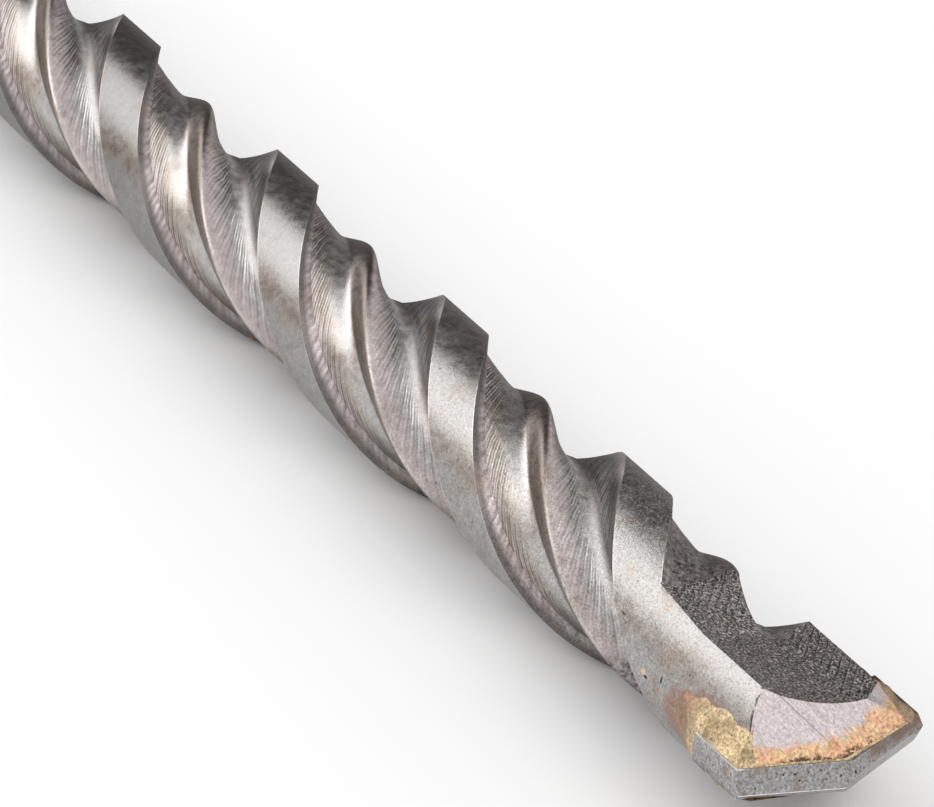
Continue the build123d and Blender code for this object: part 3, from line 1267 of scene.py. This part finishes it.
@dataclass
class SteelBody:
    """One-piece steel of the bit: shank, flutes and head."""

    sizes: BitSizes
    deep_valley_depth: float = 2.0
    ridge_drop: float = 0.68
    shallow_valley_depth: float = 1.36
    flank_base_depth: float = 0.86
    deep_valley_start_angle: float = 63.0
    deep_valley_end_angle: float = 94.0
    ridge_angle: float = 113.5
    shallow_valley_angle: float = 137.0
    flank_base_angle: float = 175.0
    gash_length: float = 10.5
    gash_left_angle: float = 127.2
    gash_right_angle: float = 25.0
    gash_sag: float = 0.42
    run_in_length: float = 4.8
    run_in_left_angle: float = 121.5
    run_in_right_angle: float = 31.0
    run_in_sag: float = 0.05
    drive_groove_width: float = 2.6
    drive_groove_depth: float = 1.8
    drive_groove_length: float = 33.0
    drive_groove_runout_radius: float = 9.0
    lock_groove_radius: float = 3.2
    lock_groove_depth: float = 1.6
    lock_groove_start: float = 12.5
    lock_groove_end: float = 30.0
    groove_turn_angle: float = 45.0
    wall_foot_share: float = 0.4
    wall_foot_rise: float = 0.3
    valley_rise: float = 0.07
    flank_foot_share: float = 0.45
    flank_foot_rise: float = 0.28
    fill_inset: float = 0.002
    gash_overlap: float = 0.06
    gash_cutter_height: float = 6.0
    gash_columns: int = 60
    run_in_rows: int = 16
    gash_rows: int = 28
    first_gash_step: float = 0.4
    past_tip: float = 1.5
    groove_rows: int = 24
    bar_rows: int = 40
    bar_columns: int = 48
    bar_end_turn: float = 0.02
    crease_angle: float = 24.0
    section_columns: tuple[int, ...] = (26, 16, 16, 16, 14, 20, 4)
    shank_stations: tuple[float, float, int] = (1.5, 48.0, 28)
    station_runs: tuple[tuple[float, float, float], ...] = (
        (49.0, 80.0, 0.55),
        (80.0, 118.0, 0.5),
        (118.0, 162.0, 0.34),
    )

    def flute_radius(self, turn: np.ndarray) -> np.ndarray:
        """Radius of the fluted section across one half of it.

        The land is round, a smooth curve runs through the deep valley, the ridge and the
        shallow valley, and a straight flank climbs to the next land.

        Args:
            turn: angles behind the land's front edge, from 0 to 180 degrees.

        Returns:
            The radii in millimetres.
        """
        sizes = self.sizes
        land_end = sizes.land_width_angle
        deep = sizes.body_radius - self.deep_valley_depth
        shallow = sizes.body_radius - self.shallow_valley_depth
        flank = sizes.body_radius - self.flank_base_depth
        wall_foot = land_end + self.wall_foot_share * (self.deep_valley_start_angle - land_end)
        flank_run = self.flank_base_angle - self.shallow_valley_angle
        flank_foot = self.shallow_valley_angle + self.flank_foot_share * flank_run
        stations = (
            (land_end, sizes.body_radius),
            (wall_foot, deep + self.wall_foot_rise * self.deep_valley_depth),
            (self.deep_valley_start_angle, deep),
            (self.deep_valley_end_angle, deep + self.valley_rise * self.deep_valley_depth),
            (self.ridge_angle, sizes.body_radius - self.ridge_drop),
            (self.shallow_valley_angle, shallow),
            (flank_foot, (1 - self.flank_foot_rise) * shallow + self.flank_foot_rise * flank),
            (self.flank_base_angle, flank),
        )
        curve = smooth_through(stations, np.clip(turn, land_end, self.flank_base_angle))
        climb = np.clip((turn - self.flank_base_angle) / (HALF_TURN - self.flank_base_angle), 0, 1)
        radius = np.where(turn > self.flank_base_angle, flank + climb * (sizes.body_radius - flank), curve)
        return np.where(turn <= land_end, sizes.body_radius, radius)

    def column_turns(self) -> np.ndarray:
        """Angles of the grid's columns behind the front edge.

        Each stretch between two corners of the section has its own even columns.

        Returns:
            The angles, from 0 up to 180 degrees.
        """
        corners = (
            0.0,
            self.sizes.land_width_angle,
            self.deep_valley_start_angle,
            self.deep_valley_end_angle,
            self.ridge_angle,
            self.shallow_valley_angle,
            self.flank_base_angle,
            HALF_TURN,
        )
        runs = zip(corners, corners[1:], self.section_columns)
        return np.concatenate([np.linspace(start, end, count, endpoint=False) for start, end, count in runs])

    def stations(self) -> np.ndarray:
        """Stations of the grid's rows, closer together towards the head.

        Returns:
            The stations in rising order, as a column.
        """
        sizes = self.sizes
        head_x = sizes.overall_length - sizes.round_length
        ends = [0.0, sizes.shank_end_chamfer, head_x, head_x + self.fill_inset]
        runs = [np.arange(*run) for run in self.station_runs]
        return np.sort(np.concatenate([ends, np.linspace(*self.shank_stations), *runs]))[:, None]

    def blank(self) -> bpy.types.Object:
        """Body before the head is ground: radius as a function of station and turn.

        Along the plain shank the radius is the shank's, with a chamfer at its end. From there
        the radius is the flute's or the run-out cone's, whichever is more. In the head, what
        lies between the land's front edge and the gash is as round as the land.

        Returns:
            The blank.
        """
        sizes = self.sizes
        half = self.column_turns()
        turns = np.concatenate([half, half + HALF_TURN])[None, :]
        section_turns = np.mod(turns, HALF_TURN)
        x = self.stations()
        front_edge = sizes.front_edge_angle(np.maximum(x, sizes.plain_shank_length))
        angle = front_edge + turns
        fluted = self.flute_radius(section_turns) + 0 * x
        in_head = x > sizes.overall_length - sizes.round_length
        behind_gash = np.mod(angle - sizes.land_fill_angle, HALF_TURN)
        front_gap = np.mod(front_edge - sizes.land_fill_angle, HALF_TURN)
        filled = in_head & (behind_gash <= front_gap) & (section_turns > sizes.land_width_angle)
        radius = np.where(filled, sizes.body_radius - self.fill_inset, fluted)
        cone_share = np.clip((x - sizes.plain_shank_length) / sizes.runout_length, 0, 1)
        cone = sizes.shank_radius + cone_share * (sizes.core_radius - sizes.shank_radius)
        shank = sizes.shank_radius - np.where(x < sizes.shank_end_chamfer, sizes.shank_end_chamfer, 0.0)
        radius = np.where(x < sizes.plain_shank_length, shank, np.maximum(radius, cone))
        return tube_of_sections("drill_body_visual", around(x, radius, angle))

    def gash_tool(self) -> bpy.types.Object:
        """Solid that cuts the straight gash in front of the right lip, with its gentle run-in.

        Across the gash the floor is a parabola between two points of the body's round, sunk
        below their chord by the sag. Along the run-in the two angles and the sag change evenly.

        Returns:
            The solid.
        """
        sizes = self.sizes
        gash_x = sizes.overall_length - self.gash_length
        start_x = gash_x - self.run_in_length
        run_in = np.linspace(start_x, gash_x, self.run_in_rows)
        ends = (gash_x + self.first_gash_step, sizes.overall_length + self.past_tip)
        x = np.concatenate([run_in, np.linspace(*ends, self.gash_rows)])
        share = np.clip((x - start_x) / self.run_in_length, 0, 1)
        left_angle = self.run_in_left_angle + share * (self.gash_left_angle - self.run_in_left_angle)
        right_angle = self.run_in_right_angle + share * (self.gash_right_angle - self.run_in_right_angle)
        sag = self.run_in_sag + share * (self.gash_sag - self.run_in_sag)
        left = around(x, sizes.body_radius, left_angle)
        right = around(x, sizes.body_radius, right_angle)
        chord = right - left
        outward = np.stack([0 * x, -chord[:, 2], chord[:, 1]], axis=1)
        outward /= np.linalg.norm(outward, axis=1)[:, None]
        outward *= np.sign(outward[:, 2])[:, None]
        t = np.linspace(-self.gash_overlap, 1 + self.gash_overlap, self.gash_columns)[None, :, None]
        sunk = sag[:, None, None] * 4 * t * (1 - t)
        floor = left[:, None] + t * chord[:, None] - outward[:, None] * sunk
        rise = outward[:, None] * self.gash_cutter_height
        section = np.concatenate([floor, floor[:, -1:] + rise, floor[:, :1] + rise], axis=1)
        return tube_of_sections("gash", section)

    def drive_groove_tool(self) -> bpy.types.Object:
        """Solid that cuts a drive groove, a flat-bottomed slot whose floor climbs at its end along a circle.

        Returns:
            The solid, above the axis.
        """
        runout = self.drive_groove_runout_radius
        floor = self.sizes.shank_radius - self.drive_groove_depth
        straight = self.drive_groove_length - runout / 2
        x = np.concatenate([[-1.0], np.linspace(straight, straight + runout * 0.8, self.groove_rows)])
        low = floor + runout - np.sqrt(runout**2 - np.clip(x - straight, 0, None) ** 2)
        high = np.full_like(x, floor + CUTTER_HALF_WIDTH)
        half = self.drive_groove_width / 2
        corners = ((low, -half), (high, -half), (high, half), (low, half))
        section = np.stack([np.stack([x, level, 0 * x + side], 1) for level, side in corners], axis=1)
        return tube_of_sections("drive_groove", section)

    def lock_groove_tool(self) -> bpy.types.Object:
        """Solid that cuts a lock groove, a half sunk round bar with round ends.

        Its radius falls to nothing over its own radius at each end, as the sine of a sweep
        from one end to the other.

        Returns:
            The solid, above the axis.
        """
        bar = self.lock_groove_radius
        height = self.sizes.shank_radius + bar - self.lock_groove_depth
        sweep = np.linspace(self.bar_end_turn, math.pi - self.bar_end_turn, self.bar_rows)[:, None]
        spin = np.linspace(0, math.tau, self.bar_columns, endpoint=False)[None, :]
        length = self.lock_groove_end - self.lock_groove_start - 2 * bar
        along = self.lock_groove_start + bar - bar * np.cos(sweep) + length * (sweep > math.pi / 2)
        across = bar * np.sin(sweep) * np.cos(spin)
        up = height + bar * np.sin(sweep) * np.sin(spin)
        return tube_of_sections("lock_groove", np.stack([along + 0 * across, across, up], axis=-1))

    def build(
        self, steel: bpy.types.Material, gash_steel: bpy.types.Material, ground_steel: bpy.types.Material
    ) -> bpy.types.Object:
        """Makes the steel body and puts it in the CAD body's place.

        Args:
            steel: steel of the shank, lands and flutes.
            gash_steel: steel of the gash.
            ground_steel: steel of the end faces and the slot.

        Returns:
            The steel body.
        """
        sizes = self.sizes
        body = self.blank()
        dress(body, steel)
        for tool in (self.drive_groove_tool(), self.lock_groove_tool()):
            tool.data.transform(Matrix.Rotation(math.radians(self.groove_turn_angle), 4, "X"))
            dress(tool, steel)
            carve(body, turned_copy(tool))
            carve(body, tool)
        gash = self.gash_tool()
        dress(gash, gash_steel)
        carve(body, turned_copy(gash))
        carve(body, gash)
        blocks = [above_face(face, sizes.overall_length, 0.0) for face in sizes.end_faces]
        blocks.append(across_block(sizes.plate_base - sizes.braze_film, sizes.half_plate + sizes.braze_film))
        for tool in blocks:
            dress(tool, ground_steel)
            carve(body, tool)
        shade(body, self.crease_angle)
        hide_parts(Finish.BODY.value)
        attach(body, "root")
        return body


@dataclass
class CarbidePlate:
    """Hard plate set across the head: a roof of two lips on a rounded plate."""

    sizes: BitSizes
    lip_relief: float = 0.45
    rake_land_drop: float = 0.5
    edge_round: float = 0.05
    worn_edge_angle: float = 22.0
    chip_depth: float = 0.05
    chip_level: float = 0.35
    chip_reach: float = 0.12
    unchipped_middle: float = 0.6
    chip_waves: tuple[tuple[float, float], ...] = ((5.1, 0.0), (2.3, 1.1), (11.7, 0.4))
    land_rows: int = 9
    middle_rows: int = 13
    sections: int = 121
    crease_angle: float = 35.0

    def roof(self, y: np.ndarray, z: np.ndarray) -> np.ndarray:
        """Station of the plate's cutting end at points across it.

        It is the lowest of four planes: the relieved flank and the small rake land of each lip.

        Args:
            y: places along the plate's width.
            z: places through its thickness.

        Returns:
            The stations in millimetres.
        """
        sizes = self.sizes
        rake_slope = self.rake_land_drop / sizes.rake_land_width
        rake_step = (self.lip_relief + rake_slope) * sizes.rake_edge
        flank = sizes.lip_slope * y - self.lip_relief * z
        rake = rake_step + sizes.lip_slope * y + rake_slope * z
        twin_flank = -sizes.lip_slope * y + self.lip_relief * z
        twin_rake = rake_step - sizes.lip_slope * y - rake_slope * z
        return sizes.overall_length + np.minimum.reduce([flank, rake, twin_flank, twin_rake])

    def chips(self, y: np.ndarray, z: np.ndarray) -> np.ndarray:
        """Depth of the small chips along the lips.

        It is the part of a product of three sines of y above a level, and falls off as a bell
        curve away from the lip.

        Args:
            y: places along the plate's width.
            z: places through its thickness.

        Returns:
            The depths in millimetres.
        """
        wave = math.prod(np.sin(pace * y + start) for pace, start in self.chip_waves)
        near_lip = np.exp(-(((np.abs(z) - self.sizes.rake_edge) / self.chip_reach) ** 2))
        chipped = near_lip * (np.abs(y) > self.unchipped_middle)
        return self.chip_depth * np.clip(wave - self.chip_level, 0, None) * chipped

    def build(self, carbide: bpy.types.Material) -> bpy.types.Object:
        """Makes the plate from sections carried along its width, each a ring round its thickness.

        Args:
            carbide: material of the plate.

        Returns:
            The plate.
        """
        sizes = self.sizes
        rake_land = np.linspace(sizes.half_plate, sizes.rake_edge, self.land_rows, endpoint=False)
        middle = np.linspace(sizes.rake_edge, -sizes.rake_edge, self.middle_rows, endpoint=False)
        twin_land = np.linspace(-sizes.rake_edge, -sizes.half_plate, self.land_rows + 1)
        z_top = np.concatenate([rake_land, middle, twin_land])
        z = np.concatenate([z_top, z_top[::-1]])[None, :]
        share = np.linspace(-1.0, 1.0, self.sections)[:, None]
        y = share * np.sqrt(sizes.tip_radius**2 - z**2)
        is_base = np.arange(z.shape[1])[None, :] >= len(z_top)
        x = np.where(is_base, sizes.plate_base, self.roof(y, z) - self.chips(y, z))
        plate = tube_of_sections("carbide_tip_visual", np.stack([x, y, z + 0 * y], axis=-1))
        dress(plate, carbide)
        rounded = plate.modifiers.new("worn edges", "BEVEL")
        rounded.width = self.edge_round * MM
        rounded.segments = 2
        rounded.limit_method = "ANGLE"
        rounded.angle_limit = math.radians(self.worn_edge_angle)
        settle(plate)
        shade(plate, self.crease_angle)
        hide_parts(Finish.TIP.value)
        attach(plate, "root")
        return plate


@dataclass
class BrazeJoint:
    """Braze that holds the plate: a film in the slot and a fillet against each proud end."""

    sizes: BitSizes
    left_fillet_angle: float = 27.5
    right_fillet_angle: float = 23.0
    plate_edge_angle: float = 9.5
    fillet_height: float = 0.84
    left_tail_length: float = 3.0
    right_tail_length: float = 0.9
    swell: float = 1.35
    sunk: float = 0.1
    hidden_height: float = -0.06
    ripple_height: float = 0.012
    side_ripple: float = 1.1
    tail_ripple: float = 0.12
    margin_angle: float = 5.0
    margin_length: float = 0.4
    rows: int = 90
    columns: int = 110
    film_columns: int = 9
    ripples: tuple[tuple[float, float, float], ...] = ((1.9, 0.11, 0.0), (3.1, -0.23, 1.0), (0.7, 0.31, 0.0))
    face_gap: float = 0.01
    film_gap: float = 0.001
    crease_angle: float = 30.0

    def grind(self, piece: bpy.types.Object) -> None:
        """Cuts a piece just above the steel's end faces."""
        for face in self.sizes.end_faces:
            carve(piece, above_face(face, self.sizes.overall_length, self.face_gap))

    def film(self) -> bpy.types.Object:
        """Film round the plate in the slot, ground with the steel's end faces.

        Its section is the slot's, with round ends as the body's: y is the root of the
        radius squared less z squared.

        Returns:
            The film.
        """
        sizes = self.sizes
        half = sizes.half_plate + sizes.braze_film - self.film_gap
        start = sizes.plate_base - sizes.braze_film + self.film_gap
        x = np.array([start, sizes.overall_length + 1.0])[:, None]
        up = np.linspace(-half, half, self.film_columns)
        z = np.concatenate([up, up[::-1]])[None, :]
        side = np.repeat([1.0, -1.0], self.film_columns)[None, :]
        y = side * np.sqrt(sizes.body_radius**2 - z**2)
        film = tube_of_sections("braze_joint_visual", np.stack([x + 0 * y, y + 0 * x, z + 0 * x], axis=-1))
        self.grind(film)
        carve(film, across_block(sizes.plate_base, sizes.half_plate))
        return film

    def fillet(self, fillet_angle: float, tail_length: float) -> bpy.types.Object:
        """Fillet on the land against the left proud end of the plate.

        Its height falls evenly from the plate's corner to the fillet's edge round the axis,
        and behind the plate along a quarter ellipse. Slow waves make its edge and surface
        uneven. Where the height is under nothing, it lies inside the steel.

        Args:
            fillet_angle: how far the fillet reaches round the axis from the plate's middle.
            tail_length: how far it reaches behind the plate.

        Returns:
            The fillet.
        """
        sizes = self.sizes
        back = sizes.plate_base - tail_length
        x = np.linspace(back - self.margin_length, sizes.overall_length, self.rows)[:, None]
        reach = fillet_angle + self.margin_angle
        offset = np.linspace(-reach, reach, self.columns)[None, :]
        ripple = sum(np.sin(along * x + turned * offset + start) for along, turned, start in self.ripples)
        inside = fillet_angle + self.side_ripple * ripple - np.abs(offset)
        across = inside / (fillet_angle - self.plate_edge_angle)
        tail = (x - back + self.tail_ripple * ripple) / tail_length
        edge = 1 - np.hypot(np.clip(1 - across, 0.0, None), np.clip(1 - tail, 0.0, None))
        height = self.fillet_height * np.clip(edge, 0.0, 1.0) ** self.swell
        height = np.where(edge < 0, self.hidden_height, height) + self.ripple_height * ripple
        outer = around(x, sizes.body_radius + height, HALF_TURN + offset)
        inner = around(x, sizes.body_radius - self.sunk + 0 * height, HALF_TURN + offset)
        return tube_of_sections("fillet", np.concatenate([outer, inner[:, ::-1]], axis=1))

    def build(self, braze: bpy.types.Material, gash: bpy.types.Object) -> bpy.types.Object:
        """Makes the film and both fillets as one piece, cut where the steel is cut.

        Args:
            braze: material of the braze.
            gash: solid that cuts the gash. It is deleted here.

        Returns:
            The braze.
        """
        sizes = self.sizes
        film = self.film()
        left = self.fillet(self.left_fillet_angle, self.left_tail_length)
        right = self.fillet(self.right_fillet_angle, self.right_tail_length)
        right.data.transform(Matrix.Rotation(math.pi, 4, "X"))
        fillets = [left, right]
        for fillet in fillets:
            self.grind(fillet)
            for degrees in (0.0, HALF_TURN):
                carve(fillet, turned_copy(gash, degrees))
            carve(fillet, across_block(sizes.plate_base, sizes.half_plate))
        bpy.data.objects.remove(gash)
        with bpy.context.temp_override(active_object=film, selected_editable_objects=[film, *fillets]):
            bpy.ops.object.join()
        dress(film, braze)
        shade(film, self.crease_angle)
        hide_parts(Finish.BRAZE.value)
        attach(film, "root")
        return film


@dataclass(frozen=True)
class Softbox:
    """Soft lamp that faces the bit's head: its place and size in metres, and its power in watts."""

    name: str
    place: Place
    size: tuple[float, float]
    power: float


@dataclass(frozen=True)
class Card:
    """Flat card that only shows as a stripe in the metal, a painted reflection, with corners in metres above
    the floor.
    """

    name: str
    corners: tuple[Place, ...]
    glow: Colour


def plain_shader(piece: bpy.types.Object, colour: Colour, roughness: float) -> bpy.types.ShaderNode:
    """Gives a piece of the studio a plain material.

    Args:
        piece: the piece.
        colour: its colour.
        roughness: its roughness.

    Returns:
        The material's shader.
    """
    material = bpy.data.materials.new(piece.name)
    material.use_nodes = True
    shader = material.node_tree.nodes["Principled BSDF"]
    shader.inputs["Base Color"].default_value = (*colour, 1.0)
    shader.inputs["Roughness"].default_value = roughness
    dress(piece, material)
    return shader


@dataclass
class Studio:
    """Pale floor, soft light and the camera."""

    sizes: BitSizes
    floor_side: float = 6.0
    floor_colour: Colour = (0.93, 0.93, 0.93)
    floor_roughness: float = 0.9
    floor_specular: float = 0.1
    sky_strength: float = 0.78
    card_colour: Colour = (0.01, 0.01, 0.01)
    lamp_aim: Place = (0.14, 0.0, 0.0)
    lamps: tuple[Softbox, ...] = (
        Softbox("key_light", (-0.339, -0.203, 0.338), (0.70, 0.40), 1.62),
        Softbox("top_light", (0.45, 0.25, 0.6), (0.6, 0.4), 0.9),
    )
    cards: tuple[Card, ...] = (
        Card(
            "dark_card",
            ((-0.30, 0.065, 0.0), (-0.06, 0.36, 0.0), (-0.06, 0.36, 0.58), (-0.30, 0.065, 0.58)),
            (0.105, 0.096, 0.097),
        ),
        # Painted shadow: a dark sheet on the floor beside the bit, seen only in the metal, standing for the
        # bit's shadow there.
        Card(
            "painted_floor_shadow",
            ((-0.30, 0.010, 0.0003), (0.165, 0.010, 0.0003), (0.05, 0.20, 0.0003), (-0.30, 0.20, 0.0003)),
            (0.20, 0.19, 0.19),
        ),
        Card(
            "warm_card",
            ((-0.33, -0.16, 0.0), (-0.16, -0.42, 0.0), (-0.16, -0.42, 0.17), (-0.33, -0.16, 0.17)),
            (0.62, 0.47, 0.38),
        ),
    )
    camera_place: Place = (0.365573, -0.166675, 0.185718)
    camera_right: Place = (0.53021961, 0.8456669, 0.06094799)
    camera_up: Place = (-0.47542574, 0.23702406, 0.84722486)
    lens: float = 232.4
    sensor_width: float = 36.0

    def floor(self) -> None:
        """Pale floor that the bit lies on."""
        level = -self.sizes.body_radius
        side = self.floor_side / 2 / MM
        corners = ((-side, -side), (side, -side), (side, side), (-side, side))
        points = np.array([(x, y, level) for x, y in corners])
        floor = make_object("floor", points, np.array([[0, 1, 2, 3]]))
        shader = plain_shader(floor, self.floor_colour, self.floor_roughness)
        shader.inputs["Specular IOR Level"].default_value = self.floor_specular

    def sky(self) -> None:
        """Even pale light from all sides."""
        world = bpy.data.worlds.new("pale_room")
        bpy.context.scene.world = world
        world.use_nodes = True
        background = world.node_tree.nodes["Background"]
        background.inputs["Color"].default_value = (1.0, 1.0, 1.0, 1.0)
        background.inputs["Strength"].default_value = self.sky_strength

    def hang_lamp(self, softbox: Softbox) -> None:
        """Puts up a lamp.

        Args:
            softbox: the lamp's sizes.
        """
        light = bpy.data.lights.new(softbox.name, "AREA")
        light.shape = "RECTANGLE"
        light.size, light.size_y = softbox.size
        light.energy = softbox.power
        lamp = bpy.data.objects.new(softbox.name, light)
        bpy.context.scene.collection.objects.link(lamp)
        lamp.location = softbox.place
        lamp.rotation_mode = "QUATERNION"
        lamp.rotation_quaternion = (Vector(self.lamp_aim) - lamp.location).to_track_quat("-Z", "Y")
        lamp.visible_camera = False

    def stand_card(self, design: Card) -> None:
        """Puts up a card.

        Args:
            design: the card's corners and glow.
        """
        points = np.array(design.corners) / MM - np.array([0.0, 0.0, self.sizes.body_radius])
        card = make_object(design.name, points, np.array([[0, 1, 2, 3]]))
        shader = plain_shader(card, self.card_colour, 1.0)
        shader.inputs["Emission Color"].default_value = (*design.glow, 1.0)
        shader.inputs["Emission Strength"].default_value = 1.0
        card.visible_camera = False
        card.visible_diffuse = False
        card.visible_shadow = False

    def camera(self) -> None:
        """Camera at the photograph's viewing angle."""
        data = bpy.data.cameras.new("camera")
        data.sensor_width = self.sensor_width
        data.lens = self.lens
        camera = bpy.data.objects.new("camera", data)
        bpy.context.scene.collection.objects.link(camera)
        right = Vector(self.camera_right)
        up = Vector(self.camera_up)
        columns = (right, up, right.cross(up), Vector(self.camera_place))
        camera.matrix_world = Matrix([*zip(*columns), (0, 0, 0, 1)])
        bpy.context.scene.camera = camera

    def build(self) -> None:
        """Sets up the whole studio."""
        self.floor()
        self.sky()
        for card in self.cards:
            self.stand_card(card)
        for softbox in self.lamps:
            self.hang_lamp(softbox)
        self.camera()
        bpy.context.scene.view_settings.view_transform = "Standard"


def main() -> None:
    logging.basicConfig(level=logging.INFO, format="%(message)s")
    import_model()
    sizes = BitSizes()
    steel_body = SteelBody(sizes)
    flute_steel = FluteSteel().material(sizes)
    body = steel_body.build(flute_steel, GashSteel().material(), GroundSteel().material(sizes))
    log.info("%s: %d faces", body.name, len(body.data.polygons))
    plate = CarbidePlate(sizes).build(Carbide().material(sizes))
    log.info("%s: %d faces", plate.name, len(plate.data.polygons))
    braze = BrazeJoint(sizes).build(Braze().material(), steel_body.gash_tool())
    log.info("%s: %d faces", braze.name, len(braze.data.polygons))
    Studio(sizes).build()
    log.info("studio: floor, softboxes, cards and camera")


if __name__ == "__main__":
    main()
